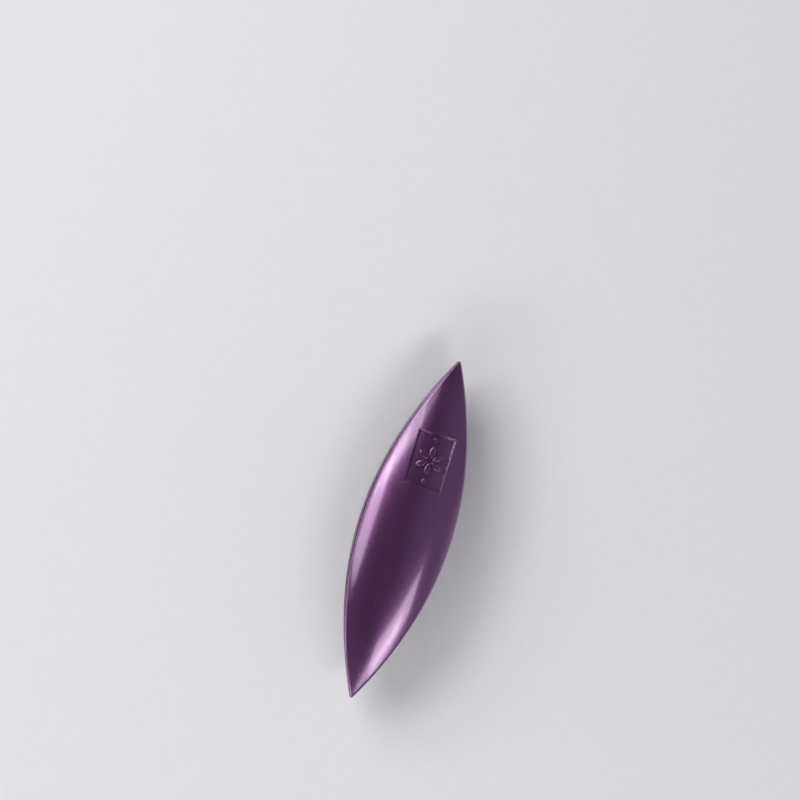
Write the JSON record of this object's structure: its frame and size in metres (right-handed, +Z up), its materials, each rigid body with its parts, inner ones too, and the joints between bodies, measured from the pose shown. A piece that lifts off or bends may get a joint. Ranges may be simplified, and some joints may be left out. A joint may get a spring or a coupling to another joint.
{
  "type": "tatting shuttle",
  "caption": "Boat-shaped post tatting shuttle: curved blades that close at the tips, a drilled centre post for the thread and a sunk ornament panel on one blade.",
  "frame": {"origin": "middle of the thread hole in the centre post, which is the middle of the whole shuttle", "axes": "+X along the shuttle towards the tip by the sunk panel, +Y across the blades along the thread hole, +Z up through the crown of the upper blade"},
  "size_m": [0.063, 0.0164, 0.013],
  "materials": {
    "pearl_blade": "moulded pearl purple plastic with a soft metallic gloss",
    "pearl_post": "the same pearl purple plastic, a little duller"
  },
  "bodies": {
    "root": {"upper_blade": "pearl_blade", "lower_blade": "pearl_blade", "centre_post": "pearl_post"}
  },
  "joints": []
}
